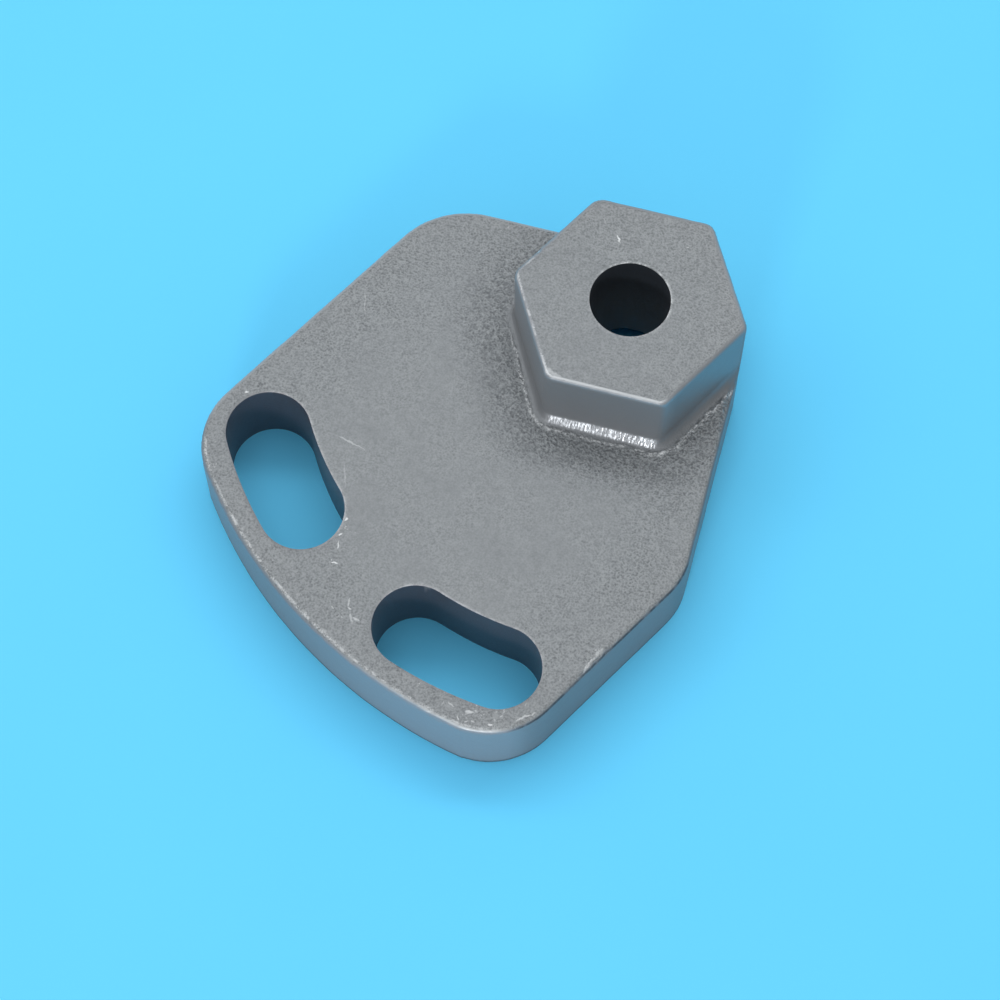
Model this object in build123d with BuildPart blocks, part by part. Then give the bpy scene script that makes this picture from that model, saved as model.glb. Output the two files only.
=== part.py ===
from build123d import *
from math import cos, radians, sin
import os

os.makedirs("parts", exist_ok=True)

# Torsion bar bracket, one casting: a thick plate with a hexagonal wrench boss over one corner.
# Millimetres, +Z up along the bore, origin on the bore axis at the plate's underside.
# Angles are in degrees from +X, anticlockwise seen from above.

# Heights above the underside
plate_thickness = 16.0
boss_height = 16.0

# Hexagonal boss, with one flat facing +Y
across_flats = 36.0
boss_corner_radius = 2.5
boss_foot_radius = 2.0

# Bore through the boss, with a wider round recess under it
bore_diameter = 14.0
bore_edge_break = 0.2
recess_diameter = 24.0
recess_depth = 6.0

# Metal left between the slots and the plate's two long sides and curved rim
north_west_wall = 3.4
south_east_wall = 3.8
rim_wall = 4.0
rim_radius = 89.0

# The plate's east side passes this far inside the hexagon's sharp east corner
east_side_inset = 0.2

# Corners of the plate seen from above
north_west_radius = 16.0
west_radius = 14.0
south_radius = 14.0
east_radius = 13.0

# Rounding of the plate's upper edge and of the boss's upper and outer edges
edge_radius = 1.0

# Two clamp slots on one arc about the bore; slot_middle_turn turns the middle of the pair off the
# direction in which the plate's two long sides run
slot_arc_radius = 65.0
slot_width = 15.0
slot_sweep = 14.0
slot_spacing = 40.0
slot_middle_turn = -2.4
slot_edge_break = 0.2

# Ways in which the flats of the hexagon face; the plate's straight sides are parallel to them
flat_turn = 360 / 6
north = 90
north_west = north + flat_turn
south_west = north + 2 * flat_turn
south = north + 3 * flat_turn
south_east = north - 2 * flat_turn
north_east = north - flat_turn
east = north_east - flat_turn / 2
beyond_boss = north_east + flat_turn / 2
beyond_slots = south_west + flat_turn / 2


def slot_reach(slot_end, facing):
    """How far from the bore the slots reach, this way, at the centre angle of a slot's end."""
    return slot_arc_radius * cos(radians(slot_end - facing)) + slot_width / 2


# Derived places; each straight side is given by its distance from the bore axis
total_height = plate_thickness + boss_height
half_flats = across_flats / 2
half_pattern = slot_spacing / 2 + slot_sweep / 2
slot_middle_angle = beyond_slots + slot_middle_turn
north_west_side = slot_reach(slot_middle_angle - half_pattern, north_west) + north_west_wall
south_east_side = slot_reach(slot_middle_angle + half_pattern, south_east) + south_east_wall
east_side = half_flats / cos(radians(flat_turn / 2)) - east_side_inset
rim_reach = slot_arc_radius + slot_width / 2 + rim_wall
overshoot = 2 * (rim_reach + across_flats)


def crossing(first, second):
    """Point where two straight sides meet; a side is (facing angle, distance from the bore)."""
    a = radians(first[0])
    b = radians(second[0])
    x = (first[1] * sin(b) - second[1] * sin(a)) / sin(b - a)
    y = (second[1] * cos(a) - first[1] * cos(b)) / sin(b - a)
    return (x, y)


def at_angle(radius, angle):
    """Point at this distance and angle from the bore axis."""
    return (radius * cos(radians(angle)), radius * sin(radians(angle)))


# Sharp corners of the outline; its north and north-east sides are flush with the hexagon
north_east_corner = crossing((north, half_flats), (north_east, half_flats))
east_top_corner = crossing((north_east, half_flats), (east, east_side))
east_corner = crossing((east, east_side), (south_east, south_east_side))
south_far_corner = crossing((south_east, south_east_side), (beyond_slots, overshoot))
west_far_corner = crossing((beyond_slots, overshoot), (north_west, north_west_side))
north_west_corner = crossing((north_west, north_west_side), (north, half_flats))
rim_centre = at_angle(rim_reach - rim_radius, slot_middle_angle)

with BuildPart() as bracket:
    # Blank slab, wider than the finished plate
    with BuildSketch():
        Rectangle(4 * overshoot, 4 * overshoot)
    extrude(amount=plate_thickness)

    # The boss overshoots to the north-east, where the outline then trims it flush
    with BuildSketch(Plane.XY.offset(plate_thickness)) as boss_plan:
        with BuildLine():
            Polyline(
                crossing((north_west, half_flats), (south_west, half_flats)),
                crossing((south_west, half_flats), (south, half_flats)),
                crossing((south, half_flats), (south_east, half_flats)),
                crossing((south_east, half_flats), (beyond_boss, overshoot)),
                crossing((beyond_boss, overshoot), (north_west, half_flats)),
                close=True,
            )
        make_face()
        fillet(boss_plan.vertices().sort_by_distance((0, 0, 0))[:3], boss_corner_radius)
    extrude(amount=boss_height)

    # Concave foot where the boss rises from the slab
    foot_edges = bracket.edges(Select.LAST).group_by(Axis.Z)[0]
    fillet(foot_edges, boss_foot_radius)

    # Outline of the whole casting seen from above
    with BuildSketch() as outline:
        with BuildLine():
            Polyline(
                north_east_corner,
                east_top_corner,
                east_corner,
                south_far_corner,
                west_far_corner,
                north_west_corner,
                close=True,
            )
        make_face()
        with Locations(rim_centre):
            Circle(rim_radius, mode=Mode.INTERSECT)
        for corner, radius in (
            (north_east_corner, boss_corner_radius),
            (east_top_corner, boss_corner_radius),
            (east_corner, east_radius),
            (north_west_corner, north_west_radius),
        ):
            fillet(outline.vertices().sort_by_distance((*corner, 0))[0], radius)
        for far_corner, radius in (
            (south_far_corner, south_radius),
            (west_far_corner, west_radius),
        ):
            fillet(outline.vertices().sort_by_distance((*far_corner, 0))[0], radius)
    extrude(amount=total_height, mode=Mode.INTERSECT)

    # Upper edge of the plate, carried on up the two corners where the boss meets the outline
    side_faces = bracket.faces().filter_by(
        lambda face: face.bounding_box().min.Z < 0.01 and face.bounding_box().size.Z > 1
    )
    outer_edges = side_faces.edges().filter_by(
        lambda edge: plate_thickness - 0.01 < edge.bounding_box().min.Z < total_height - 0.01
    )
    fillet(outer_edges, edge_radius)
    fillet(bracket.faces().sort_by(Axis.Z)[-1].edges(), edge_radius)

    # Clamp slots, through the plate
    with BuildSketch(Plane.XY.offset(plate_thickness)):
        for middle in (
            slot_middle_angle - slot_spacing / 2,
            slot_middle_angle + slot_spacing / 2,
        ):
            centre_line = Edge.make_circle(
                slot_arc_radius,
                start_angle=middle - slot_sweep / 2,
                end_angle=middle + slot_sweep / 2,
            )
            SlotArc(arc=centre_line, height=slot_width)
    extrude(amount=-plate_thickness, mode=Mode.SUBTRACT)
    slot_rims = bracket.edges(Select.LAST).group_by(Axis.Z)[-1]
    fillet(slot_rims, slot_edge_break)

    # Bore from the top, recess from the underside
    with Locations((0, 0, total_height)):
        Hole(radius=bore_diameter / 2)
    bore_rim = bracket.edges(Select.LAST).group_by(Axis.Z)[-1]
    fillet(bore_rim, bore_edge_break)
    with BuildSketch():
        Circle(recess_diameter / 2)
    extrude(amount=recess_depth, mode=Mode.SUBTRACT)

bracket.part.label = "bracket_casting"
export_step(bracket.part, "parts/bracket_casting.step")
print("valid", bracket.part.is_valid, "solids", len(bracket.part.solids()))
print(bracket.part.bounding_box(), "volume", bracket.part.volume)
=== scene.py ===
import math

import bmesh
import bpy
import numpy as np
from mathutils import Matrix, Vector, kdtree


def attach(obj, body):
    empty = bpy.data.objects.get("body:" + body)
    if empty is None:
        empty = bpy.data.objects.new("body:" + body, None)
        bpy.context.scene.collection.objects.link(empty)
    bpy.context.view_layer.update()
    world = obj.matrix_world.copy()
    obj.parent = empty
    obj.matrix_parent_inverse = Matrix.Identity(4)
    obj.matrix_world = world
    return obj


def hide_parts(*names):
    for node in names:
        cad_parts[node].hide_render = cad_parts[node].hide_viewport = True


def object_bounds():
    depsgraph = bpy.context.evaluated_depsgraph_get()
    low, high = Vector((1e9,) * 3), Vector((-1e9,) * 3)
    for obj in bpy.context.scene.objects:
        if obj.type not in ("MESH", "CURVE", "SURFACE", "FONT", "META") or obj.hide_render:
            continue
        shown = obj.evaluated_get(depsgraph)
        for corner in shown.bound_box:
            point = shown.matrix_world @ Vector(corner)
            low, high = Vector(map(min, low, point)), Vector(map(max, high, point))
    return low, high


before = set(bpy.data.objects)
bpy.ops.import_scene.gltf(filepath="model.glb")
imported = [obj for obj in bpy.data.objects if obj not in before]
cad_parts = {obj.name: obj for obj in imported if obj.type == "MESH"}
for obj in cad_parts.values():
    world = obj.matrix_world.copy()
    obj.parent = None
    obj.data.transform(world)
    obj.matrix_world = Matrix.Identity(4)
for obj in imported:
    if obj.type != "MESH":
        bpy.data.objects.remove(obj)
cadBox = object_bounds()
mm = 0.001

# The camera stands where the photograph was taken from.
photoCamera = {
    "lookAt": (-15.38, -28.88, 0.0),  # the middle of the picture, on the sheet
    "distance": 520.47,
    "turn": 15.07,  # round from the front, towards the right
    "height": 67.59,  # angle above the sheet
    "roll": -0.12,
    "lens": 105.15,
    "sensor": 36,
}


def placeCamera(values):
    turn, height, roll = (math.radians(values[key]) for key in ("turn", "height", "roll"))
    away = Vector((
        math.sin(turn) * math.cos(height),
        -math.cos(turn) * math.cos(height),
        math.sin(height),
    ))
    level = Vector((math.cos(turn), math.sin(turn), 0))
    upright = away.cross(level)
    side = level * math.cos(roll) + upright * math.sin(roll)
    top = upright * math.cos(roll) - level * math.sin(roll)
    data = bpy.data.cameras.new("photoCamera")
    data.sensor_width = values["sensor"]
    data.lens = values["lens"]
    data.clip_start = 0.01
    data.clip_end = 20
    camera = bpy.data.objects.new("photoCamera", data)
    place = (Vector(values["lookAt"]) + away * values["distance"]) * mm
    turned = Matrix((side, top, away)).transposed().to_4x4()
    camera.matrix_world = Matrix.Translation(place) @ turned
    bpy.context.scene.collection.objects.link(camera)
    bpy.context.scene.camera = camera


placeCamera(photoCamera)
print("camera placed")

# Sizes of the bracket that its wear and marks are measured from.
bracket = {
    "plateTop": 16.0,
    "bossTop": 32.0,
    "flatReach": 18.0,  # from the bore axis to each flat of the hexagon
    "bossCorner": 2.5,
    "footRadius": 2.0,
    "edgeRadius": 1.0,
    "slotArc": 65.0,
    "slotHalfWidth": 7.5,
    "slotMiddles": (-142.4, -102.4),
    "slotHalfSweep": 7.0,
    "bore": 7.0,
    "recess": 12.0,
    "recessTop": 6.0,
    "rimFacing": -122.4,
    "rimRadius": 89.0,
    "rimCrown": 76.5,  # from the bore axis to the middle of the curved rim
    "flushFacing": 60,  # the hexagon's two sides round this way are one wall with the plate
}

# Ways round the casting in which its zones lie: the middle of each, and how far from there it is full
# and is over.
ways = {
    # by the way that the wall below them faces
    "rim": (bracket["rimFacing"], 42, 60),
    "knockedRim": (bracket["rimFacing"], 42, 62),
    "southCorner": (-87, 15, 32),
    "southWall": (-84, 20, 46),
    "eastSides": (-30, 18, 36),
    "eastWall": (0, 15, 40),
    "northSides": (100, 60, 90),
    # by the way from the bore to them
    "southFoot": (270, 25, 30),
    "drawMarks": (270, 26, 30),
    "southHollow": (270, 26, 34),
    "eastLip": (-35, 20, 40),
    "noLip": (170, 14, 40),
    "crownWest": (234, 64, 70),
    "crownSouth": (268, 32, 37),
    "crownNorth": (80, 70, 95),
    "besideBoss": (335, 25, 35),
    "boreNorth": (60, 60, 120),
}


def turnedBy(turn, facing):
    return np.abs((turn - facing + 180) % 360 - 180)


def around(turn, way):
    # 1 in the middle of the zone, down to 0 where it is over
    middle, full, over = way
    return 1 - ease(turnedBy(turn, middle), full, over)


def ease(values, start, end):
    part = np.clip((values - start) / (end - start), 0, 1)
    return part * part * (3 - 2 * part)


def cloudy(points, size, seed):
    # smooth random values from -1 to 1, the same on every run
    cell = points / size + seed * 7.31
    base = np.floor(cell)
    part = cell - base
    part = part * part * part * (part * (part * 6 - 15) + 10)
    base = base.astype(np.int64)
    total = np.zeros(len(points))
    for corner in range(8):
        step = np.array([corner & 1, corner >> 1 & 1, corner >> 2 & 1])
        at = base + step
        mixed = at[:, 0] * 73856093 ^ at[:, 1] * 19349663 ^ at[:, 2] * 83492791 ^ seed * 2654435
        mixed = mixed & 0xFFFFFFFF
        mixed = (mixed ^ mixed >> 15) * 0x2C1B3C6D & 0xFFFFFFFF
        mixed = (mixed ^ mixed >> 12) * 0x297A2D39 & 0xFFFFFFFF
        mixed = mixed ^ mixed >> 15
        share = np.where(step == 1, part, 1 - part).prod(axis=1)
        total += share * (mixed / 0x7FFFFFFF - 1)
    return total


def fromHexagon(points, corner):
    # distance outside the hexagon with its corners rounded so far, and the way outwards
    inner = bracket["flatReach"] - corner
    half = inner * math.tan(math.radians(30))
    turn = np.degrees(np.arctan2(points[:, 1], points[:, 0]))
    flat = np.radians(np.round((turn - 30) / 60) * 60 + 30)
    out = points[:, 0] * np.cos(flat) + points[:, 1] * np.sin(flat)
    across = points[:, 1] * np.cos(flat) - points[:, 0] * np.sin(flat)
    past = across - np.clip(across, -half, half)
    beyond = out - inner
    reach = np.where(past == 0, beyond, np.hypot(beyond, past))
    scale = np.maximum(np.abs(reach), 1e-6)
    outward = np.where(past == 0, 1.0, beyond / scale)
    sideways = np.where(past == 0, 0.0, past / scale)
    way = np.stack([
        outward * np.cos(flat) - sideways * np.sin(flat),
        outward * np.sin(flat) + sideways * np.cos(flat),
    ], axis=1)
    return reach - corner, way, turn, across


def fromSlots(points):
    reach = np.hypot(points[:, 0], points[:, 1])
    turn = np.degrees(np.arctan2(points[:, 1], points[:, 0]))
    nearest = np.full(len(points), 1e9)
    for middle in bracket["slotMiddles"]:
        off = (turn - middle + 180) % 360 - 180
        held = np.clip(off, -bracket["slotHalfSweep"], bracket["slotHalfSweep"])
        end = np.radians(middle + held)
        away = np.hypot(
            points[:, 0] - bracket["slotArc"] * np.cos(end),
            points[:, 1] - bracket["slotArc"] * np.sin(end),
        )
        beside = np.abs(reach - bracket["slotArc"])
        nearest = np.minimum(nearest, np.where(off == held, beside, away))
    return nearest - bracket["slotHalfWidth"]


def readOutline(mesh):
    # the plate's outline, walked along where its walls meet the underside
    work = bmesh.new()
    work.from_mesh(mesh)
    bmesh.ops.remove_doubles(work, verts=work.verts, dist=1e-7)
    places, facings = [], []
    for edge in work.edges:
        low = max(corner.co.z for corner in edge.verts) < 0.01 * mm
        walls = [face.normal for face in edge.link_faces if abs(face.normal.z) < 0.5]
        middle = np.array([(edge.verts[0].co + edge.verts[1].co) / 2 / mm])
        inside = np.hypot(middle[0, 0], middle[0, 1]) < bracket["recess"] + 1
        if not low or len(walls) != 1 or inside or fromSlots(middle)[0] < 1:
            continue
        start, end = (corner.co / mm for corner in edge.verts)
        count = max(1, round((end - start).length / 0.2))
        for number in range(count):
            places.append(start.lerp(end, (number + 0.5) / count))
            facings.append(walls[0].xy.normalized())
    work.free()
    tree = kdtree.KDTree(len(places))
    for number, place in enumerate(places):
        tree.insert((place.x, place.y, 0), number)
    tree.balance()
    softened = []
    for place in places:
        near = tree.find_range((place.x, place.y, 0), 4)
        softened.append(np.mean([facings[hit[1]] for hit in near], axis=0))
    return tree, np.array(facings), np.array(softened)


def fromRim(points):
    # distance outside the true arc of the rim, and the way outwards
    ridge = math.radians(bracket["rimFacing"])
    centre = np.array([math.cos(ridge), math.sin(ridge)]) * (bracket["rimCrown"] - bracket["rimRadius"])
    spoke = points[:, :2] - centre
    away = np.maximum(np.hypot(spoke[:, 0], spoke[:, 1]), 1e-6)
    return away - bracket["rimRadius"], spoke / away[:, None]


def measured(points, outline):
    tree, facings, softened = outline
    found = [tree.find((x, y, 0)) for x, y in points[:, :2]]
    hits = [hit[1] for hit in found]
    facing, soft = facings[hits], softened[hits]
    nearest = np.array([hit[0].xy for hit in found])
    beyond = ((points[:, :2] - nearest) * facing).sum(axis=1)
    # the outline has the rim's arc only in short straight pieces
    arc, outward = fromRim(points)
    onRim = (np.abs(arc - beyond) < 0.1) & ((outward * facing).sum(axis=1) > 0.99)
    facing = np.where(onRim[:, None], outward, facing)
    foot, footWay, footTurn, along = fromHexagon(points, bracket["bossCorner"])
    return {
        "edge": np.array([hit[2] for hit in found]),
        "facing": np.degrees(np.arctan2(soft[:, 1], soft[:, 0])),
        "facingWay": facing,
        "beyond": np.where(onRim, arc, beyond),
        "foot": foot,
        "footWay": footWay,
        "footTurn": footTurn,
        "along": along,
        "slot": fromSlots(points),
        "axis": np.hypot(points[:, 0], points[:, 1]),
    }


def pointsOf(mesh):
    places = np.empty(len(mesh.vertices) * 3)
    mesh.vertices.foreach_get("co", places)
    normals = np.empty(len(mesh.vertices) * 3)
    mesh.vertices.foreach_get("normal", normals)
    return places.reshape(-1, 3) / mm, normals.reshape(-1, 3)


# Shape of the cast skin.
castSkin = {
    "grid": 0.25,  # size of the remeshed grid, before it is thinned out
    "triangles": 190000,
    "sharpAngle": 50,  # edges that turn by more than this are shaded sharp
    "smoothing": 1,
    "wave": 0.045,  # slow unevenness of the cast faces
    "waveSizes": (13, 5.5),
    "ripple": 0.016,
    "rippleSize": 1.7,
    "slotTightness": 0.05,  # the slots come out this much narrower on each side
    "edgeWear": 0.10,  # how far the rim's edge is knocked back
    "knockSizes": (2.6, 1.1),
    "edgeRipple": 0.04,  # how far every upper edge of the plate is worn back
    "edgeRippleSize": 3.4,
    "edgeReach": (0.8, 1.7),  # distances from the edge between which its wear fades out
    "crownWear": 0.05,  # how far the top edge of the hexagon is knocked back
    "crownKnockSize": 2.2,
    "crownReach": (0.7, 1.5),
    "footTurns": (-180, -150, -120, -90, -60, -30, 0, 120, 150, 180),
    "footShares": (0.5, 0.74, 0.9, 1.0, 1.0, 0.95, 0.9, 0.45, 0.45, 0.5),  # of the foot's radius
    "narrowedWithin": 3,  # the foot is narrowed out to this many of its radii
    "loweredWithin": 5,
    "facet": 0.99,  # the south foot is filled out to a flat at 45 degrees, this far from its corner
    "skirtHeight": 0.38,  # the rough skin swells up to the foot by this much
    "skirtReach": 8.0,
    "skirtSize": 4.2,
    "lipHeight": 0.15,  # beaded lip where the foot meets the rough skin
    "lipWidth": 0.30,
    "lipStand": 0.3,  # clear of the foot's radius
    "lipSway": 0.15,
    "lipSwaySize": 3.6,
    "lipJags": 0.3,
    "lipJagSize": 0.75,
    "lipBeadSize": 2.3,
}

# Corners of the hexagon that look rounder or sharper than the part's: way, radius there, radius here.
corners = {
    "north": (120.0, 1.0, 3.2),
    "southWest": (240.0, 2.5, 1.9),
    "southEast": (300.0, 2.5, 1.4),
}

# Dents: x, y, z, radius, depth.
dents = {
    "westSlotRim": (-61.9, -26.8, 15.7, 0.7, 0.20),
    "biteTop": (11.2, -57.6, 15.9, 1.1, 0.34),
    "biteMiddle": (9.9, -59.9, 15.9, 0.9, 0.26),
    "biteLow": (8.6, -62.4, 15.9, 1.2, 0.20),
    "bossWest": (-17.6, 5.2, 31.8, 0.5, 0.16),
    "bossTop": (-4.8, -13.1, 32.0, 0.7, 0.06),
    "rimWest": (-58.0, -49.4, 15.8, 0.8, 0.16),
    "rimMiddle": (-46.9, -60.0, 15.8, 0.7, 0.16),
    "rimSouth": (-29.6, -69.4, 15.8, 0.8, 0.14),
    "cornerFirst": (-9.3, -74.6, 16.0, 0.7, 0.10),
    "cornerSecond": (-3.2, -74.2, 16.0, 0.8, 0.12),
    "cornerThird": (1.2, -71.6, 16.0, 0.7, 0.10),
}


def settle(body):
    graph = bpy.context.evaluated_depsgraph_get()
    mesh = bpy.data.meshes.new_from_object(body.evaluated_get(graph))
    body.modifiers.clear()
    body.data = mesh
    return mesh


def gridded(values):
    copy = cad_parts["bracket_casting"].data.copy()
    work = bmesh.new()
    work.from_mesh(copy)
    bmesh.ops.remove_doubles(work, verts=work.verts, dist=1e-7)
    work.to_mesh(copy)
    work.free()
    body = bpy.data.objects.new("castingBody", copy)
    bpy.context.scene.collection.objects.link(body)
    remesh = body.modifiers.new("grid", "REMESH")
    remesh.mode = "VOXEL"
    remesh.voxel_size = values["grid"] * mm
    even = body.modifiers.new("even", "SMOOTH")
    even.factor = 0.5
    even.iterations = values["smoothing"]
    settle(body)
    return body


def squared(places, normals, size, values):
    # flats, walls and holes go back to where the grid found them, and so do their sharp edges
    top = bracket["plateTop"]
    reach = values["grid"]
    flat = np.abs(normals[:, 2]) > 0.98
    upright = np.abs(normals[:, 2]) < 0.3
    level = normals[:, :2] / np.maximum(np.hypot(normals[:, 0], normals[:, 1]), 1e-3)[:, None]
    bore = size["axis"] - bracket["bore"]
    flank = np.abs(size["foot"]) < reach
    flank &= (places[:, 2] > top + 2.4) & (places[:, 2] < bracket["bossTop"] - 1.2)
    flank &= turnedBy(size["footTurn"], bracket["flushFacing"]) > 70
    low = places[:, 2] < reach
    middle = np.abs(places[:, 2] - top) < reach
    high = np.abs(places[:, 2] - bracket["bossTop"]) < reach
    sharp = ~flat & ~upright
    wallEdge = sharp & low & (np.abs(size["beyond"]) < reach)
    slotEdge = sharp & (low | middle) & (np.abs(size["slot"]) < reach)
    boreEdge = sharp & high & (np.abs(bore) < reach)
    for height, near in ((0, low), (top, middle), (bracket["bossTop"], high)):
        places[near & (flat | wallEdge | slotEdge | boreEdge), 2] = height
    nearWall = (np.abs(size["beyond"]) < reach) & upright | wallEdge
    nearSlot = (np.abs(size["slot"]) < reach) & upright | slotEdge
    nearBore = (np.abs(bore) < reach) & upright | boreEdge
    moves = (
        (nearWall, -size["facingWay"] * size["beyond"][:, None]),
        (nearSlot, level * size["slot"][:, None]),
        (nearBore, level * bore[:, None]),
        (flank & upright, -size["footWay"] * size["foot"][:, None]),
    )
    for near, move in moves:
        places[:, :2] += np.where(near[:, None], move, 0)
    # along the sharp edges the skin is then worked on sideways
    edges = wallEdge | slotEdge | boreEdge
    normals[edges, :2] = level[edges]
    normals[edges, 2] = 0
    return places, normals, edges & (middle | high)


def flushSide(size):
    # the north and north-east sides, where plate and hexagon are one wall
    return (1 - ease(size["foot"], 0.3, 2.4)) * (1 - ease(size["edge"], 0.5, 1.6))


def wornAway(places, size, values):
    # how far each point of the skin goes inwards
    top = bracket["plateTop"]
    corner = np.hypot(size["edge"], top - places[:, 2])
    onEdge = (1 - ease(corner, *values["edgeReach"])) * (places[:, 2] < top + 0.5)
    onEdge = onEdge * (1 - flushSide(size))
    large, small = values["knockSizes"]
    knocks = ease(cloudy(places, large, 4) + 0.5 * cloudy(places, small, 5), -0.2, 0.7)
    away = values["edgeWear"] * onEdge * around(size["facing"], ways["knockedRim"]) * knocks
    away += values["edgeRipple"] * onEdge * ease(cloudy(places, values["edgeRippleSize"], 6), 0, 0.8)
    crown = np.hypot(np.minimum(size["foot"], 0), bracket["bossTop"] - places[:, 2])
    crown = (1 - ease(crown, *values["crownReach"])) * (size["foot"] < 0.3)
    away += values["crownWear"] * crown * ease(cloudy(places, values["crownKnockSize"], 7), -0.1, 0.8)
    for x, y, z, radius, depth in dents.values():
        reach = ((places - (x, y, z)) ** 2).sum(axis=1) / radius ** 2
        away += depth * np.exp(-1.6 * reach)
    return away


def lipLine(places, size, values):
    # how far from the hexagon the foot's ragged lip runs, and how strong it is
    share = np.interp(size["footTurn"], values["footTurns"], values["footShares"])
    flat = places * (1, 1, 0)
    eastern = around(size["footTurn"], ways["eastLip"])
    jagged = values["lipJags"] * (0.5 + 0.5 * eastern) * cloudy(flat, values["lipJagSize"], 12)
    sway = values["lipSway"] * cloudy(flat, values["lipSwaySize"], 10)
    reach = bracket["footRadius"] * share + values["lipStand"] + sway + jagged
    return reach, (1 + 0.8 * eastern) * (1 - around(size["footTurn"], ways["noLip"]))


def footFilled(places, size, values):
    # the foot below the south flat is filled out, where the draw marks shine
    rise = places[:, 2] - bracket["plateTop"]
    radius = bracket["footRadius"]
    inside = (size["foot"] > -0.1) & (rise > -0.1) & (size["foot"] < radius) & (rise < radius)
    fill = values["facet"] - (size["foot"] + places[:, 2] - bracket["plateTop"]) / math.sqrt(2)
    fill = np.maximum(fill, 0) / math.sqrt(2) * inside * around(size["footTurn"], ways["southFoot"])
    places[:, :2] += size["footWay"] * fill[:, None]
    places[:, 2] += fill
    return places


def footNarrowed(places, size, values):
    # the foot narrows towards the west
    radius = bracket["footRadius"]
    share = np.interp(size["footTurn"], values["footTurns"], values["footShares"])
    out = np.maximum(size["foot"], 0)
    up = np.maximum(places[:, 2] - bracket["plateTop"], 0)
    outside = (places[:, 2] > bracket["plateTop"] - 0.4) & (size["foot"] > -0.05)
    narrowed = share + (1 - share) * ease(out, radius, values["narrowedWithin"] * radius)
    lowered = share + (1 - share) * ease(up, radius, values["loweredWithin"] * radius)
    shift = np.where(outside, out * (narrowed - 1), 0)
    places[:, :2] += size["footWay"] * shift[:, None]
    places[:, 2] += np.where(size["foot"] < 4 * radius, up * (lowered - 1), 0)
    return places, out + shift


def skirtRaised(places, size, values, reach):
    # the rough skin swells up to the foot and ends there in a beaded lip
    share = np.interp(size["footTurn"], values["footTurns"], values["footShares"])
    lipReach, strength = lipLine(places, size, values)
    up = np.maximum(places[:, 2] - bracket["plateTop"], 0)
    skirt = values["skirtHeight"] * (1 - ease(reach, bracket["footRadius"] * share, values["skirtReach"]))
    skirt *= (1 - ease(up, 1, 9)) * (0.8 + 0.35 * cloudy(places, values["skirtSize"], 11))
    beads = 0.4 * cloudy(places, values["lipBeadSize"], 8) + 0.9 * cloudy(places, values["lipJagSize"], 9)
    swell = np.clip(0.5 + beads, 0, 1.6) * strength
    lip = np.exp(-(((reach - lipReach) / values["lipWidth"]) ** 2)) * swell * values["lipHeight"]
    onTop = (places[:, 2] > bracket["plateTop"] - 0.4) & (size["edge"] > 0.3)
    places[:, 2] += np.where(onTop, (skirt + lip * (up < 1.2)) * ease(size["edge"], 0.3, 1.4), 0)
    return places


def cornersShaped(places, size):
    for facing, there, here in corners.values():
        change = fromHexagon(places, here)[0] - fromHexagon(places, there)[0]
        near = turnedBy(size["footTurn"], facing) < 16
        high = ease(places[:, 2], bracket["plateTop"] + 0.4, bracket["plateTop"] + 1.4)
        high *= 1 - ease(size["foot"], 0.3, 3)
        places[:, :2] -= size["footWay"] * np.where(near, change * high, 0)[:, None]
    return places


def roughened(body, values, outline):
    places, normals = pointsOf(body.data)
    size = measured(places, outline)
    places, normals, holeEdge = squared(places, normals, size, values)
    top = bracket["plateTop"]
    under = (places[:, 2] < 0.3) & (normals[:, 2] < -0.5)
    inBore = size["axis"] < bracket["bore"] + 0.4
    inRecess = (size["axis"] < bracket["recess"] + 0.3) & (places[:, 2] < bracket["recessTop"] + 0.3)
    asCast = np.where(under | inBore | inRecess, 0.0, 1.0)
    flank = (size["foot"] < 1.2) & (places[:, 2] > top + 0.3) & (normals[:, 2] < 0.8)

    # the unevenness goes only inwards, so that the casting stays in its box
    slow, quick = values["waveSizes"]
    wave = cloudy(places, slow, 1) * 0.65 + cloudy(places, quick, 2) * 0.35
    ripple = cloudy(places, values["rippleSize"], 3)
    plain = values["wave"] * (1 - wave) + values["ripple"] * (1 - ripple)
    inSlot = (size["slot"] < 0.3) & (np.abs(normals[:, 2]) < 0.8)
    flush = flushSide(size)
    calm = np.where(flank, 0.5, 1.0) * (1 - flush) + (1 - 0.5 * ease(places[:, 2], 8, 24)) * flush
    inwards = plain * asCast * calm
    inwards = np.where(inSlot, values["wave"] * wave - values["slotTightness"], inwards)
    inwards += wornAway(places, size, values)
    moved = places - normals * inwards[:, None]
    moved[holeEdge, 2] -= plain[holeEdge]
    moved = footFilled(moved, size, values)
    moved, reach = footNarrowed(moved, size, values)
    moved = skirtRaised(moved, size, values, reach)
    moved = cornersShaped(moved, size)

    low, high = (np.array(corner) / mm for corner in cadBox)
    moved = np.clip(moved, low + 0.002, high - 0.002)
    moved[places[:, 2] < 0.02, 2] = 0
    body.data.vertices.foreach_set("co", (moved * mm).ravel())
    body.data.update()
    print("cast skin shaped on", len(moved), "points")


def triangleCount(mesh):
    return sum(len(face.vertices) - 2 for face in mesh.polygons)


def thinnedOut(body, values):
    count = triangleCount(body.data)
    thin = body.modifiers.new("thin", "DECIMATE")
    thin.ratio = min(1, values["triangles"] / count)
    mesh = settle(body)
    mesh.polygons.foreach_set("use_smooth", [True] * len(mesh.polygons))
    mesh.set_sharp_from_angle(angle=math.radians(values["sharpAngle"]))
    mesh.name = "castingBody"
    print("thinned from", count, "to", triangleCount(mesh), "triangles")


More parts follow.
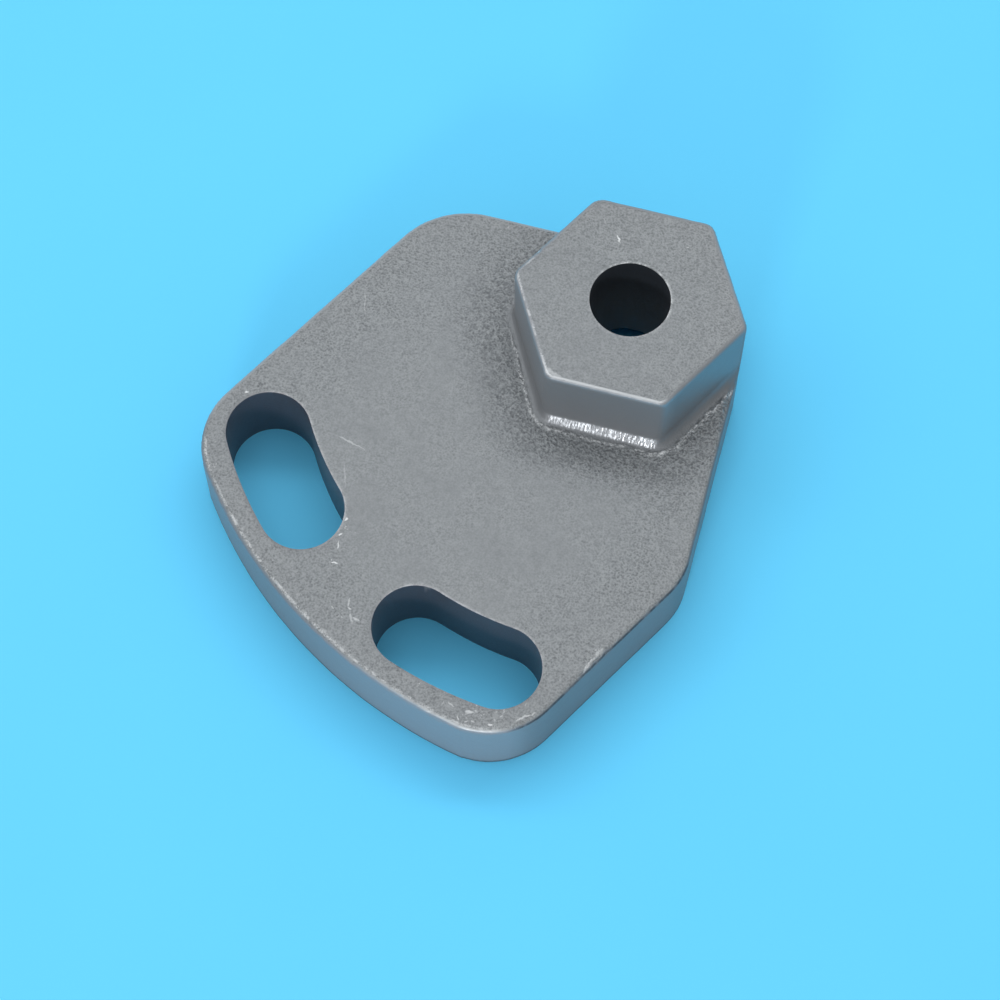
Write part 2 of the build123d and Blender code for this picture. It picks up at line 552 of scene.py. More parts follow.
# Loose flecks of bare metal: x, y, radius, strength.
fleckPatches = {
    "besideWestSlot": (-38.2, -48.5, 2.0, 0.8),
    "belowWestSlot": (-38.0, -53.0, 1.6, 0.9),
    "westOfSouthSlot": (-33.0, -61.6, 2.2, 0.8),
    "southCorner": (-3.5, -73.4, 7.5, 0.7),
    "southRim": (-15.0, -71.8, 5.0, 0.6),
    "bite": (9.0, -60.2, 2.8, 0.9),
    "eastSide": (14.5, -59.0, 3.0, 0.5),
    "bossCorner": (-9.8, -16.6, 1.6, 0.9),
    "bossWest": (-17.6, 5.2, 0.9, 0.9),
}


# Zones round a rounded edge, in degrees from 0 on top to 90 on the wall, and zones across the foot, in
# shares of its width: where each starts, is full from, is full up to and is over.
bands = {
    "rimWear": (-10, 4, 16, 36),
    "rounded": (8, 24, 70, 88),
    "shine": (12, 20, 46, 60),
    "burr": (40, 54, 70, 84),
    "crownWear": (12, 20, 34, 42),
    "drawMarks": (0.02, 0.12, 0.55, 0.75),
}


def banded(values, band):
    start, full, fading, over = band
    return ease(values, start, full) * (1 - ease(values, fading, over))


def roundEdge(out, over):
    # angle round an upper edge, from how far a point is outside the wall and over the top
    radius = bracket["edgeRadius"]
    return np.degrees(np.arctan2(radius + out, np.maximum(radius + over, 1e-3)))


def edgeMasks(z, size):
    # wear of the plate's upper edge and of the crown, the hexagon's top edge, with painted highlights,
    # painted light on the north sides and a painted shadow under the burr
    top = bracket["plateTop"]
    plate = roundEdge(-size["edge"], z - top)
    onPlate = (z < top + 0.3) * (z > top - 1) * (1 - flushSide(size))
    crown = roundEdge(size["foot"], z - bracket["bossTop"])
    onCrown = (z > bracket["bossTop"] - 1) * (size["foot"] < 0.4)
    facing, turn = size["facing"], size["footTurn"]
    west, south = around(turn, ways["crownWest"]), around(turn, ways["crownSouth"])
    rounded = banded(plate, bands["rounded"]) * onPlate
    # painted light on rounded edges that face north
    pale = rounded * around(facing, ways["northSides"])
    paleCrown = 0.5 * banded(crown, bands["rounded"]) * onCrown * around(turn, ways["crownNorth"])
    onRim = 0.1 + 0.9 * around(facing, ways["rim"])
    knocked = banded(crown, bands["crownWear"]) * onCrown
    return {
        "rimWear": banded(plate, bands["rimWear"]) * onPlate * onRim,
        "cornerShine": banded(plate, bands["shine"]) * onPlate * around(facing, ways["southCorner"]),
        "paleEdge": np.maximum(pale, paleCrown),
        "dullEdge": rounded,
        "burrShadow": banded(plate, bands["burr"]) * onPlate * around(facing, ways["eastSides"]),
        # the crown's pale line is partly wear and partly a painted highlight, kept unbroken on the south
        # side
        "crownWear": knocked * (0.04 + 0.96 * west) * (0.7 + 0.2 * south),
        "crownFirm": south,
    }


def fleckMask(places, normals, size):
    # loose flecks lie in patches, and thinly along the rim
    nearRim = (1 - ease(size["edge"], 2.0, 5.0)) * around(size["facing"], ways["rim"])
    spots = np.zeros(len(places))
    for x, y, radius, strength in fleckPatches.values():
        away = ((places[:, 0] - x) ** 2 + (places[:, 1] - y) ** 2) / radius ** 2
        spots = np.maximum(spots, strength * np.exp(-away))
    return np.maximum(spots, 0.3 * nearRim) * (normals[:, 2] > 0.6)


def footMasks(places, normals, size):
    # lip, draw marks with their painted highlight, the painted shade of the foot's hollow, and the smooth
    # skin of foot and flanks
    top = bracket["plateTop"]
    z = places[:, 2]
    turn = size["footTurn"]
    share = np.interp(turn, castSkin["footTurns"], castSkin["footShares"])
    foot = size["foot"] / (bracket["footRadius"] * share)
    lipReach, strength = lipLine(places, size, castSkin)
    lipWidth = 0.15 + 0.08 * strength
    low = (z < top + 1.2) & (z > top - 0.5)
    lip = np.exp(-(((size["foot"] - lipReach) / lipWidth) ** 2)) * low * np.minimum(strength, 1)
    # the draw marks carry a painted highlight, brighter towards the east end
    eastward = 0.55 + 0.45 * ease(size["along"], -9, 8)
    drawn = banded(foot, bands["drawMarks"]) * (z > top) * (z < top + 2.2)
    drawn = drawn * around(turn, ways["drawMarks"]) * eastward
    inFoot = (1 - ease(size["foot"], lipReach - 0.3, lipReach + 0.1)) * (size["foot"] > -0.8)
    inFoot *= (z > top - 0.2) & (z < top + 2.6)
    southern = around(turn, ways["southHollow"])
    hollow = ease(foot + 0.25 * (1 - southern), 0.1, 0.5) * (1 - drawn) * (1 - 0.2 * southern)
    flank = (size["foot"] > -0.8) & (normals[:, 2] < 0.95) & (z > top + 1.5)
    return {
        "lip": lip,
        "along": size["along"],
        "footBand": drawn,
        "footShade": hollow * (z < top + 2.2) * inFoot,
        "smoothFoot": np.maximum(flank, inFoot * (1 - 0.5 * ease(foot, 0.45, 0.9))),
    }


def wallMasks(z, normals, size):
    # painted light on the south wall, painted shade on the east side and beside the boss, and a painted
    # contact shadow along the foot of the walls
    top = bracket["plateTop"]
    flush = flushSide(size)
    upright = np.abs(normals[:, 2]) < 0.75
    wall = upright & (z < top)
    eastern = around(size["facing"], ways["eastWall"]) * (z < top) * (1 - ease(size["facing"], 5, 20))
    besideBoss = around(size["footTurn"], ways["besideBoss"]) * (z > top)
    return {
        "smoothZone": np.maximum(wall, upright * flush),
        "wallZone": wall * (1 - flush) + upright * flush * (1 - ease(z, 5, 27)),
        "southWall": wall * around(size["facing"], ways["southWall"]),
        "eastShade": np.maximum(eastern, 0.6 * besideBoss),
        "lowEdge": wall * (1 - ease(z, 0.3, 1.1)) * (size["edge"] < 1),
    }


def holeMasks(z, normals, size):
    top = bracket["plateTop"]
    inSlot = (size["slot"] < 0.35) & (z < top - 0.2) & (np.abs(normals[:, 2]) < 0.8)
    slotEdge = np.exp(-((size["slot"] / 0.3) ** 2)) * (z > top - 0.35) * (z < top + 0.1)
    outer = (size["axis"] - bracket["slotArc"]) / bracket["slotHalfWidth"]
    boreEdge = np.exp(-(((size["axis"] - bracket["bore"]) / 0.3) ** 2)) * (z > bracket["bossTop"] - 0.35)
    boreEdge *= 1 - 0.6 * (1 - around(size["footTurn"], ways["boreNorth"]))
    return {
        "slotZone": inSlot * 1.0,
        "slotShadow": slotEdge * ease(outer, -0.3, 0.5),
        "holeEdge": np.maximum(slotEdge * (1 - ease(outer, -0.6, 0)) * 0.5, boreEdge),
    }


def masked(body, outline):
    # soft fields on the mesh that tell the finish where it is
    places, normals = pointsOf(body.data)
    size = measured(places, outline)
    z = places[:, 2]
    masks = edgeMasks(z, size)
    masks["fleckZone"] = fleckMask(places, normals, size)
    masks.update(footMasks(places, normals, size))
    masks.update(wallMasks(z, normals, size))
    masks.update(holeMasks(z, normals, size))
    masks["smoothZone"] = np.maximum(masks["smoothZone"], masks.pop("smoothFoot"))
    masks["onBoss"] = (size["foot"] < 0.5) & (z > bracket["plateTop"] + 1)
    masks["nearBoss"] = 1 - ease(size["foot"], 3, 14)
    masks["nearEdge"] = 1 - ease(size["edge"], 6, 20)
    for name, values in masks.items():
        layer = body.data.attributes.new(name, "FLOAT", "POINT")
        layer.data.foreach_set("value", values.astype(np.float32))
    print("masks painted:", ", ".join(masks))


outline = readOutline(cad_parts["bracket_casting"].data)
castingBody = gridded(castSkin)
roughened(castingBody, castSkin, outline)
thinnedOut(castingBody, castSkin)
masked(castingBody, outline)

# Finish of the casting.
ironFinish = {
    "iron": (0.286, 0.297, 0.298, 1),
    "darkIron": (0.128, 0.135, 0.140, 1),
    "wallIron": (0.236, 0.217, 0.224, 1),
    "southIron": (0.345, 0.335, 0.355, 1),  # painted light on the wall of the south corner
    "flankIron": (0.325, 0.330, 0.342, 1),  # sides of the hexagon
    # bare drawn metal of the south foot, made pale as a painted highlight
    "footIron": (0.62, 0.63, 0.64, 1),
    "footShade": (0.150, 0.158, 0.162, 1),  # painted shade in the hollow between the foot and its lip
    "slotIron": (0.132, 0.123, 0.146, 1),
    # painted shade, for the top of the bore, the foot of the walls and the shadow under the burr
    "boreIron": (0.012, 0.017, 0.024, 1),
    "boreDepth": (0.26, 0.31, 0.35, 1),  # painted light further down the bore
    "boreFade": (5.0, 30.0),  # heights between which the bore turns from painted light below to painted shade at its top
    "paleIron": (0.36, 0.37, 0.38, 1),  # painted light on the upper edges on the north side
    "wornIron": (0.70, 0.705, 0.70, 1),
    "roughness": 0.5,
    "metallic": 0.5,
    "wallDullness": 0.75,  # the walls are this much less metallic
    "edgeDullness": 0.6,
    "wornMetallic": 0.4,
    "drawnMetallic": 0.95,
    "cloudSize": 8.0,
    "patchSize": 1.6,
    "grainSize": 0.36,
    "grainHeight": 0.17,
    "fineSize": 0.2,
    "fineHeight": 0.010,
    "lumpSize": 1.2,
    "lumpHeight": 0.13,
    "drawSize": 0.36,  # upright draw marks on the foot of the hexagon
    "drawStretch": 0.3,
    "drawHeight": 0.24,
    "wormSize": 0.62,  # coarse pitting round the foot
    "wormHeight": 0.15,
    "lipSize": 0.5,
    "chipSize": 1.15,
    "chipShake": 2.2,
    "scratchShake": 0.55,
    "scratchDepth": 0.02,
}

# How coarse the grain is, and what each zone adds to it or takes off as a share.
coarseness = {
    "plain": 0.25,
    "clouds": 0.4,
    "besideBoss": 0.5,
    "besideEdge": 0.5,
    "onBoss": -0.4,
    "smoothSkin": -0.75,
    "inHoles": -0.6,
    "cornerShine": -0.9,
}

# How the worn and dark edges break up: the range of the noise, then the least and the most that shows.
wearBreaks = {
    "rim": (0.56, 0.80, 0.0, 0.7),
    "crown": (0.57, 0.79, 0.0, 1.0),
    "holes": (0.55, 0.80, 0.0, 0.7),
    "cornerShine": (0.3, 0.7, 0.45, 0.75),
    "burr": (0.3, 0.6, 0.2, 0.8),
    "lip": (0.44, 0.60, 0.08, 0.95),
}

# Scratches and nicks: x, y, z, length, width, turn, strength.
scratches = {
    "bossNick": (-4.8, 10.9, 32.0, 1.9, 0.36, -54, 1.0),
    "bossSpeck": (7.1, 12.3, 32.0, 0.5, 0.35, 20, 0.6),
    "bossScratch": (-7.9, 13.6, 32.0, 1.5, 0.2, -60, 0.4),
    "bossWestChip": (-17.6, 5.1, 31.8, 0.5, 0.4, 30, 1.0),
    "northSpeck": (-25.9, 16.2, 16.0, 0.6, 0.4, 60, 0.5),
    "westSlotSpeck": (-61.8, -26.9, 15.9, 0.8, 0.55, 40, 0.8),
    "longScratch": (-41.3, -31.5, 16.0, 6.4, 0.34, -14, 0.38),
    "westScratch": (-46.4, -5.3, 16.0, 6.0, 0.2, -74, 0.3),
    "arcMark": (-40.8, -37.6, 16.0, 5.4, 0.25, -72, 0.25),
    "slotFirst": (-38.3, -45.5, 16.0, 1.0, 0.4, 70, 0.9),
    "slotSecond": (-38.4, -48.4, 16.0, 0.9, 0.35, 50, 0.9),
    "slotThird": (-38.3, -50.4, 16.0, 1.6, 0.3, -80, 0.8),
    "slotFourth": (-38.0, -53.7, 16.0, 1.5, 0.35, 5, 1.0),
    "betweenFirst": (-33.6, -60.0, 16.0, 1.8, 0.36, -85, 0.45),
    "betweenSecond": (-33.2, -61.0, 16.0, 0.8, 0.4, -20, 0.65),
    "betweenThird": (-32.5, -62.6, 16.0, 2.4, 0.36, -66, 0.4),
    "betweenFourth": (-31.6, -62.6, 16.0, 1.6, 0.42, -13, 0.5),
    "betweenFifth": (-36.1, -61.6, 16.0, 0.9, 0.36, -39, 0.35),
    "curlFirst": (-12.1, -73.1, 16.0, 1.6, 0.35, -30, 0.4),
    "curlSecond": (-8.8, -73.6, 16.0, 1.9, 0.5, 5, 0.6),
    "curlThird": (-10.3, -75.1, 16.0, 1.0, 0.3, -60, 0.6),
    "curlFourth": (-8.8, -75.4, 16.0, 0.8, 0.3, 30, 0.5),
    "curlFifth": (-7.7, -75.1, 16.0, 0.8, 0.35, 10, 0.5),
    "brightChip": (-4.8, -74.9, 16.0, 1.0, 0.5, 10, 0.8),
    "loopFirst": (-0.2, -72.6, 16.0, 1.7, 0.35, 40, 0.6),
    "loopSecond": (0.7, -71.8, 16.0, 1.8, 0.35, 25, 0.6),
    "loopThird": (1.7, -71.2, 16.0, 1.3, 0.35, 50, 0.5),
    "biteTop": (9.7, -57.8, 15.9, 2.6, 1.0, 55, 0.35),
    "biteMiddle": (8.9, -59.4, 15.9, 1.7, 0.5, 62, 0.45),
    "biteLow": (8.25, -60.9, 15.9, 2.6, 0.45, 75, 0.65),
    "crownPatch": (-8.9, -17.0, 31.9, 3.4, 0.8, -14, 0.35),
    "crownCorner": (-10.2, -16.6, 31.9, 1.3, 1.2, 20, 0.4),
}


class Finish:
    def __init__(self, name):
        self.material = bpy.data.materials.new(name)
        self.material.use_nodes = True
        self.tree = self.material.node_tree
        self.surface = self.tree.nodes["Principled BSDF"]

    def node(self, kind, inputs=None, **settings):
        made = self.tree.nodes.new(kind)
        for key, value in settings.items():
            setattr(made, key, value)
        for key, value in (inputs or {}).items():
            self.feed(made.inputs[key], value)
        return made

    def feed(self, socket, value):
        if isinstance(value, bpy.types.NodeSocket):
            self.tree.links.new(value, socket)
        else:
            socket.default_value = value

    def math(self, operation, *values):
        made = self.node("ShaderNodeMath", operation=operation)
        for number, value in enumerate(values):
            self.feed(made.inputs[number], value)
        return made.outputs[0]

    def vector(self, operation, *values):
        return self.node("ShaderNodeVectorMath", dict(enumerate(values)), operation=operation).outputs

    def times(self, first, second):
        return self.math("MULTIPLY", first, second)

    def most(self, first, second):
        return self.math("MAXIMUM", first, second)

    def without(self, zone):
        return self.math("SUBTRACT", 1.0, zone)

    def scaled(self, value, factor, offset):
        return self.math("MULTIPLY_ADD", value, factor, offset)

    def noise(self, place, size, detail=1.0, roughness=0.5, distortion=0.0):
        made = self.node("ShaderNodeTexNoise", {
            "Vector": place,
            "Scale": 1 / size,
            "Detail": detail,
            "Roughness": roughness,
            "Distortion": distortion,
        })
        return made.outputs["Fac"]

    def shaken(self, place, scale, detail, reach):
        # a place moved a little by noise
        noise = self.node("ShaderNodeTexNoise", {"Vector": place, "Scale": scale, "Detail": detail})
        return self.vector("MULTIPLY_ADD", noise.outputs["Color"], reach, place)[0]

    def between(self, value, start, end, low=0.0, high=1.0):
        # a smooth step never leaves low and high, so it needs no clamp after it
        made = self.node("ShaderNodeMapRange", {
            "Value": value,
            "From Min": start,
            "From Max": end,
            "To Min": low,
            "To Max": high,
        }, interpolation_type="SMOOTHSTEP", clamp=False)
        return made.outputs["Result"]

    def mask(self, name):
        return self.node("ShaderNodeAttribute", attribute_name=name).outputs["Fac"]

    def blend(self, share, first, second):
        made = self.node("ShaderNodeMix", data_type="RGBA")
        self.feed(made.inputs["Factor"], share)
        self.feed(made.inputs[6], first)
        self.feed(made.inputs[7], second)
        return made.outputs[2]


def scratched(iron, place, shake):
    # each scratch is a thin lens; a little noise makes its outline uneven
    shaken = iron.shaken(place, 1.6, 2.0, (shake, shake, 0.0))
    total = None
    for x, y, z, length, width, turn, strength in scratches.values():
        centre = Vector((x + shake / 2, y + shake / 2, z))
        stretch = Vector((2 / length, 2 / width, 1 / 1.5))
        turned = iron.node("ShaderNodeVectorRotate", {
            "Vector": shaken,
            "Center": centre,
            "Angle": math.radians(-turn),
        }, rotation_type="Z_AXIS").outputs[0]
        lens = iron.vector("MULTIPLY_ADD", turned, stretch, -centre * stretch)[0]
        away = iron.vector("LENGTH", lens)["Value"]
        here = iron.between(away, 0.55, 1.1, strength, 0.0)
        total = here if total is None else iron.most(total, here)
    return total


def chipped(iron, place, values):
    # loose flecks of bare metal, where the mesh says that they lie
    shake = values["chipShake"]
    moved = iron.shaken(place, 2.2, 1.0, (shake, shake, shake))
    chips = iron.node("ShaderNodeTexVoronoi", {"Vector": moved, "Scale": 1 / values["chipSize"]}).outputs
    chance = iron.node("ShaderNodeSeparateColor", {"Color": chips["Color"]}).outputs[0]
    picked = iron.math("SUBTRACT", iron.mask("fleckZone"), chance)
    inside = iron.between(chips["Distance"], 0.14, 0.30, 0.45, 0.0)
    return iron.times(iron.between(picked, 0.1, 0.3), inside)


def insideBore(iron, east, north, up):
    # the bore below its edge, and the recess under it
    axis = iron.math("SQRT", iron.math("ADD", iron.times(east, east), iron.times(north, north)))
    inBore = iron.times(
        iron.math("LESS_THAN", axis, bracket["bore"] + 0.2),
        iron.math("LESS_THAN", up, bracket["bossTop"] - 0.2),
    )
    inRecess = iron.times(
        iron.math("LESS_THAN", axis, bracket["recess"] + 0.2),
        iron.math("LESS_THAN", up, bracket["recessTop"] + 0.2),
    )
    return iron.most(inBore, iron.times(inRecess, iron.math("GREATER_THAN", up, 0.1)))


def ironFields(iron, values):
    # the places, noises and zones that colour, shine and relief are made from
    where = iron.node("ShaderNodeTexCoord").outputs["Object"]
    place = iron.node("ShaderNodeVectorMath", {0: where, "Scale": 1 / mm}, operation="SCALE").outputs[0]
    apart = iron.node("ShaderNodeSeparateXYZ", {"Vector": place}).outputs
    up = apart["Z"]
    field = {"place": place, "up": up}
    field["clouds"] = iron.noise(place, values["cloudSize"], 2)
    field["lumps"] = iron.noise(place, values["lumpSize"], 2, 0.55, 0.3)
    field["grain"] = iron.noise(place, values["grainSize"], 1, 0.5)
    field["fine"] = iron.noise(place, values["fineSize"], 0)
    field["patches"] = iron.noise(place, values["patchSize"], 3, 0.6)
    field["worms"] = iron.math("SUBTRACT", iron.noise(place, values["wormSize"], 0, 0.5, 0.7), 0.5)

    # the underside is one even field, with none of the zones of the walls and edges
    field["above"] = iron.math("GREATER_THAN", up, 0.05)
    for name in ("smoothZone", "slotZone", "nearBoss", "nearEdge"):
        field[name] = iron.times(iron.mask(name), field["above"])
    for name in ("footBand", "onBoss", "cornerShine"):
        field[name] = iron.mask(name)
    field["bore"] = insideBore(iron, apart["X"], apart["Y"], up)
    # marks of the upper edges end with the edge, also where a long triangle runs on down the wall
    field["plateEdge"] = iron.between(up, bracket["plateTop"] - 1.15, bracket["plateTop"] - 0.9)
    field["slotEdge"] = iron.between(up, bracket["plateTop"] - 0.45, bracket["plateTop"] - 0.2)
    field["crownEdge"] = iron.between(up, bracket["bossTop"] - 1.2, bracket["bossTop"] - 0.9)

    across = iron.node("ShaderNodeCombineXYZ", {
        "X": iron.mask("along"),
        "Y": iron.times(up, values["drawStretch"]),
    }).outputs[0]
    field["drawn"] = iron.math("SUBTRACT", iron.noise(across, values["drawSize"], 1, 0.6), 0.5)
    field["shining"] = iron.times(field["footBand"], iron.between(field["drawn"], -0.08, 0.05, 0.2, 1.0))
    rough = iron.without(iron.most(field["onBoss"], field["smoothZone"]))
    field["pitted"] = iron.times(field["nearBoss"], rough)
    field["coarse"] = coarsened(iron, field, coarseness)
    field["scratches"] = scratched(iron, place, values["scratchShake"])
    return field


def coarsened(iron, field, values):
    clouds = iron.between(field["clouds"], 0.35, 0.7, 0.0, values["clouds"])
    coarse = iron.math("ADD", iron.scaled(field["nearBoss"], values["besideBoss"], values["plain"]), clouds)
    coarse = iron.math("MULTIPLY_ADD", field["nearEdge"], values["besideEdge"], coarse)
    coarse = iron.times(coarse, iron.scaled(field["onBoss"], values["onBoss"], 1.0))
    coarse = iron.times(coarse, iron.scaled(field["smoothZone"], values["smoothSkin"], 1.0))
    holes = iron.most(field["slotZone"], field["bore"])
    coarse = iron.times(coarse, iron.scaled(holes, values["inHoles"], 1.0))
    return iron.times(coarse, iron.scaled(field["cornerShine"], values["cornerShine"], 1.0))


def ironGrey(iron, field, values):
    # slow clouds, painted shade beside the boss and paler beside the edges, then the grain itself
    grain = iron.math("SUBTRACT", field["grain"], 0.5)
    # painted shade of the boss on the skin round it
    besideBoss = iron.times(field["nearBoss"], iron.without(field["onBoss"]))
    tone = iron.scaled(field["clouds"], 0.3, 0.45)
    tone = iron.scaled(besideBoss, -0.12, tone)
    tone = iron.scaled(field["nearEdge"], 0.06, tone)
    tone = iron.math("ADD", tone, iron.times(grain, iron.scaled(field["coarse"], 1.6, 0.2)))
    tone = iron.math("MULTIPLY_ADD", field["worms"], field["pitted"], tone)
    tone = iron.math("ADD", tone, iron.scaled(field["lumps"], 0.35, -0.175))
    return iron.blend(iron.between(tone, 0.0, 1.1), values["darkIron"], values["iron"])


def sideIron(iron, field, colour, values):
    # walls and flanks with painted light on the south wall and painted shade on the east, the foot with its
    # painted highlight and painted shade, and edges with painted shadow and painted light
    wall = iron.blend(iron.mask("southWall"), values["wallIron"], values["southIron"])
    side = iron.blend(iron.mask("wallZone"), values["flankIron"], wall)
    # painted shade on the east walls and on the flank beside the boss
    side = iron.blend(iron.times(iron.mask("eastShade"), 0.65), side, values["darkIron"])
    colour = iron.blend(iron.times(field["smoothZone"], 0.8), colour, side)
    # painted highlight of the draw marks on the south foot
    colour = iron.blend(field["shining"], colour, values["footIron"])
    colour = iron.blend(iron.times(iron.mask("footShade"), 0.65), colour, values["footShade"])
    # painted contact shadow along the foot of the walls
    low = iron.times(field["above"], iron.between(field["up"], 0.4, 1.3, 1.0, 0.0))
    lowEdge = iron.times(iron.mask("lowEdge"), low)
    colour = iron.blend(iron.times(lowEdge, 0.7), colour, values["boreIron"])
    # painted shadow under the burr along the south-east edges
    broken = iron.between(field["patches"], *wearBreaks["burr"])
    burr = iron.times(iron.times(iron.mask("burrShadow"), broken), field["plateEdge"])
    colour = iron.blend(burr, colour, values["boreIron"])
    slotShadow = iron.times(iron.mask("slotShadow"), field["slotEdge"])
    colour = iron.blend(iron.times(slotShadow, 0.7), colour, values["darkIron"])
    # painted light on the north upper edges
    colour = iron.blend(iron.times(iron.mask("paleEdge"), field["plateEdge"]), colour, values["paleIron"])
    return iron.blend(field["slotZone"], colour, values["slotIron"])


def bareMetal(iron, field, values):
    # edges, flecks and scratches that are worn down to bare metal, with a painted highlight on the plate's
    # south corner and along the crown
    broken = iron.scaled(field["fine"], 0.35, field["patches"])
    firm = iron.scaled(iron.mask("crownFirm"), 0.25, broken)
    rim = iron.times(iron.mask("rimWear"), iron.between(broken, *wearBreaks["rim"]))
    crown = iron.times(iron.mask("crownWear"), iron.between(firm, *wearBreaks["crown"]))
    holes = iron.times(iron.mask("holeEdge"), iron.between(broken, *wearBreaks["holes"]))
    # painted highlight on the rounded south corner
    shine = iron.times(field["cornerShine"], iron.between(broken, *wearBreaks["cornerShine"]))
    worn = iron.most(field["scratches"], chipped(iron, field["place"], values))
    worn = iron.most(worn, iron.times(rim, field["plateEdge"]))
    worn = iron.most(worn, iron.times(crown, field["crownEdge"]))
    worn = iron.most(worn, iron.times(holes, field["slotEdge"]))
    worn = iron.most(worn, shine)
    return iron.times(worn, iron.without(field["bore"]))


def metalShare(iron, field, worn, values):
    # dull edges, walls and bore, and bright worn and drawn metal
    dullEdge = iron.times(iron.mask("dullEdge"), field["plateEdge"])
    dullWall = iron.times(iron.mask("wallZone"), field["smoothZone"])
    dullWall = iron.times(dullWall, iron.without(field["slotZone"]))
    dull = iron.most(iron.times(dullEdge, values["edgeDullness"]), field["bore"])
    dull = iron.most(dull, iron.times(dullWall, values["wallDullness"]))
    metallic = iron.times(iron.without(dull), values["metallic"])
    metallic = iron.between(worn, 0.0, 1.0, metallic, values["wornMetallic"])
    return iron.between(field["shining"], 0.0, 1.0, metallic, values["drawnMetallic"])


def ironRoughness(iron, field, worn, values):
    rough = iron.scaled(field["grain"], 0.16, values["roughness"] - 0.08)
    rough = iron.scaled(field["smoothZone"], -0.06, rough)
    rough = iron.scaled(field["shining"], -0.16, rough)
    rough = iron.scaled(worn, -0.08, rough)
    return iron.scaled(field["bore"], 0.4, rough)


def ironRelief(iron, field, values):
    # a height that a zone scales is 0 on average, so that no step shows where the zone ends
    grain = iron.scaled(field["grain"], values["grainHeight"], -0.5 * values["grainHeight"])
    rolling = iron.scaled(field["lumps"], values["lumpHeight"], -0.5 * values["lumpHeight"])
    height = iron.times(grain, field["coarse"])
    height = iron.math("MULTIPLY_ADD", rolling, field["coarse"], height)
    pits = iron.times(field["pitted"], values["wormHeight"])
    height = iron.math("MULTIPLY_ADD", field["worms"], pits, height)
    height = iron.math("MULTIPLY_ADD", field["fine"], values["fineHeight"], height)
    height = iron.math("MULTIPLY_ADD", field["scratches"], -values["scratchDepth"], height)
    marks = iron.times(field["footBand"], values["drawHeight"])
    height = iron.math("MULTIPLY_ADD", field["drawn"], marks, height)
    bump = iron.node("ShaderNodeBump", {"Height": height, "Strength": 1.0, "Distance": mm})
    return bump.outputs["Normal"]


def blastedIron(values):
    iron = Finish("blastedCastIron")
    field = ironFields(iron, values)
    worn = bareMetal(iron, field, values)
    broken = iron.noise(field["place"], values["lipSize"], 2, 0.6, 0.8)
    lip = iron.times(iron.mask("lip"), iron.between(broken, *wearBreaks["lip"]))
    colour = sideIron(iron, field, ironGrey(iron, field, values), values)
    # bare metal of the wear and the lip, and the painted highlights
    colour = iron.blend(iron.times(iron.most(worn, lip), 0.85), colour, values["wornIron"])
    # the bore's painted shade at its top turns to painted light further down
    deep = iron.between(field["up"], *values["boreFade"], 1.0, 0.0)
    boreColour = iron.blend(deep, values["boreIron"], values["boreDepth"])
    iron.feed(iron.surface.inputs["Base Color"], iron.blend(field["bore"], colour, boreColour))
    iron.feed(iron.surface.inputs["Metallic"], metalShare(iron, field, worn, values))
    iron.feed(iron.surface.inputs["Roughness"], ironRoughness(iron, field, worn, values))
    iron.feed(iron.surface.inputs["Normal"], ironRelief(iron, field, values))
    return iron.material


castingBody.data.materials.clear()
castingBody.data.materials.append(blastedIron(ironFinish))
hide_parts("bracket_casting")
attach(castingBody, "root")
print("casting finished")

# The sheet that the casting lies on. Its sizes are in metres.
blueSheet = {
    "size": 3.0,
    "colour": (0.139, 0.645, 0.99, 1),
    "paler": (0.146, 0.67, 1.0, 1),
    "cloudSize": 0.05,
    "roughness": 0.8,
    "gloss": 0.2,
}


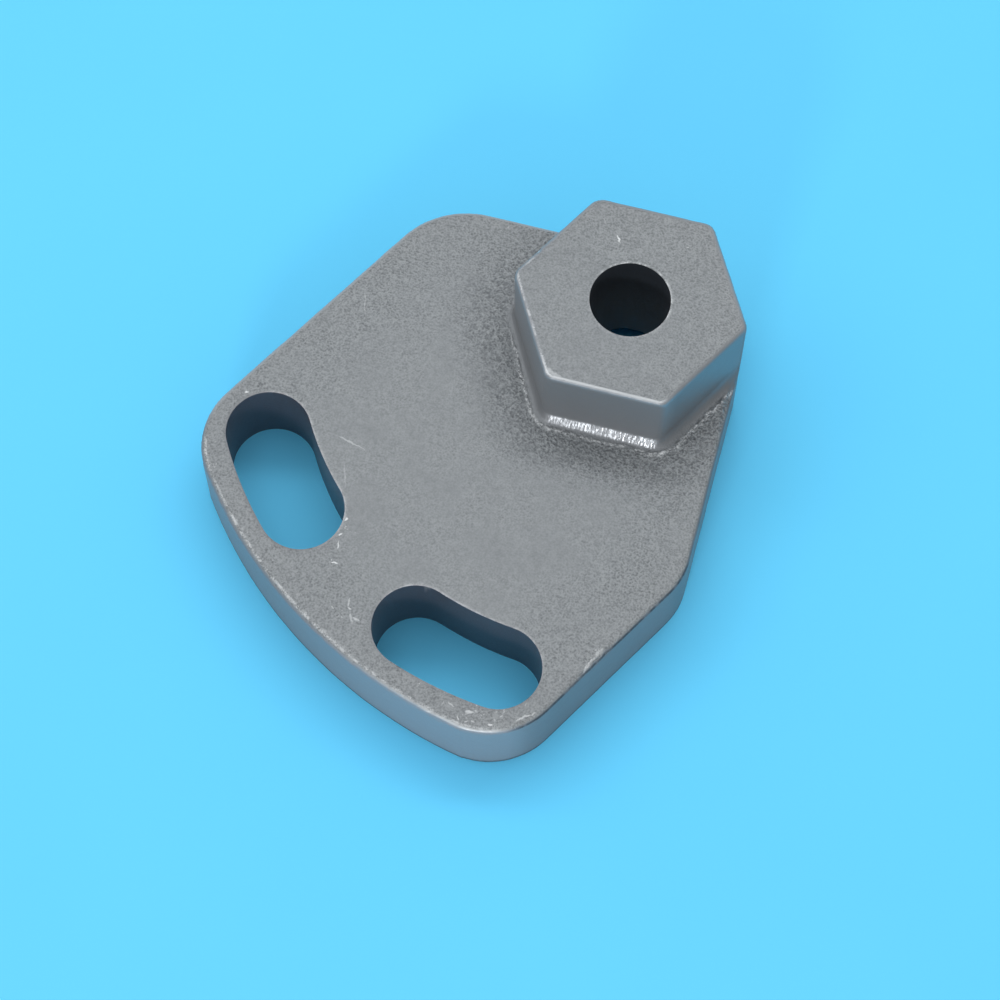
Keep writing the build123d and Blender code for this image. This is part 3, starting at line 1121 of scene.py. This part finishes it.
def layFloor(values):
    work = bmesh.new()
    bmesh.ops.create_grid(work, x_segments=1, y_segments=1, size=values["size"] / 2)
    mesh = bpy.data.meshes.new("blueSheet")
    work.to_mesh(mesh)
    work.free()
    sheet = bpy.data.objects.new("blueSheet", mesh)
    bpy.context.scene.collection.objects.link(sheet)
    paint = Finish("paleBlueSheet")
    where = paint.node("ShaderNodeTexCoord").outputs["Object"]
    clouds = paint.noise(where, values["cloudSize"], 2)
    paint.feed(paint.surface.inputs["Base Color"], paint.blend(clouds, values["colour"], values["paler"]))
    paint.surface.inputs["Roughness"].default_value = values["roughness"]
    paint.surface.inputs["Specular IOR Level"].default_value = values["gloss"]
    mesh.materials.append(paint.material)


layFloor(blueSheet)

# Lamps, one metre from the casting: direction, height above the sheet, size in metres, watts.
lamps = {
    "backStrip": {"turn": 98, "height": 63, "width": 1.2, "depth": 0.2, "watts": 2.85},
    "westWindow": {"turn": 180, "height": 50, "width": 0.6, "depth": 0.4, "watts": 0.85},
    "topPanel": {"turn": 110, "height": 85, "width": 0.8, "depth": 0.8, "watts": 2.05},
    "frontLamp": {"turn": 269, "height": 24, "width": 0.18, "depth": 0.16, "watts": 2.2},
}
roomLight = {
    "colour": (0.925, 0.96, 1.0, 1),
    "strength": 0.58,
    "middle": (-20, -28, 16),  # where the lamps point, in mm
}


def hangLamps(lamps, room):
    centre = Vector(room["middle"]) * mm
    for name, values in lamps.items():
        data = bpy.data.lights.new(name, "AREA")
        data.shape = "RECTANGLE"
        data.size = values["width"]
        data.size_y = values["depth"]
        data.energy = values["watts"]
        data.color = room["colour"][:3]
        lamp = bpy.data.objects.new(name, data)
        turn, height = math.radians(values["turn"]), math.radians(values["height"])
        away = Vector((
            math.cos(turn) * math.cos(height),
            math.sin(turn) * math.cos(height),
            math.sin(height),
        ))
        level = Vector((-math.sin(turn), math.cos(turn), 0))
        turned = Matrix((level, away.cross(level), away)).transposed().to_4x4()
        lamp.matrix_world = Matrix.Translation(centre + away) @ turned
        bpy.context.scene.collection.objects.link(lamp)
    world = bpy.data.worlds.new("softRoom")
    bpy.context.scene.world = world
    world.use_nodes = True
    world.node_tree.nodes["Background"].inputs["Color"].default_value = room["colour"]
    world.node_tree.nodes["Background"].inputs["Strength"].default_value = room["strength"]


hangLamps(lamps, roomLight)
bpy.context.scene.view_settings.view_transform = "Standard"
print("floor and lamps set")
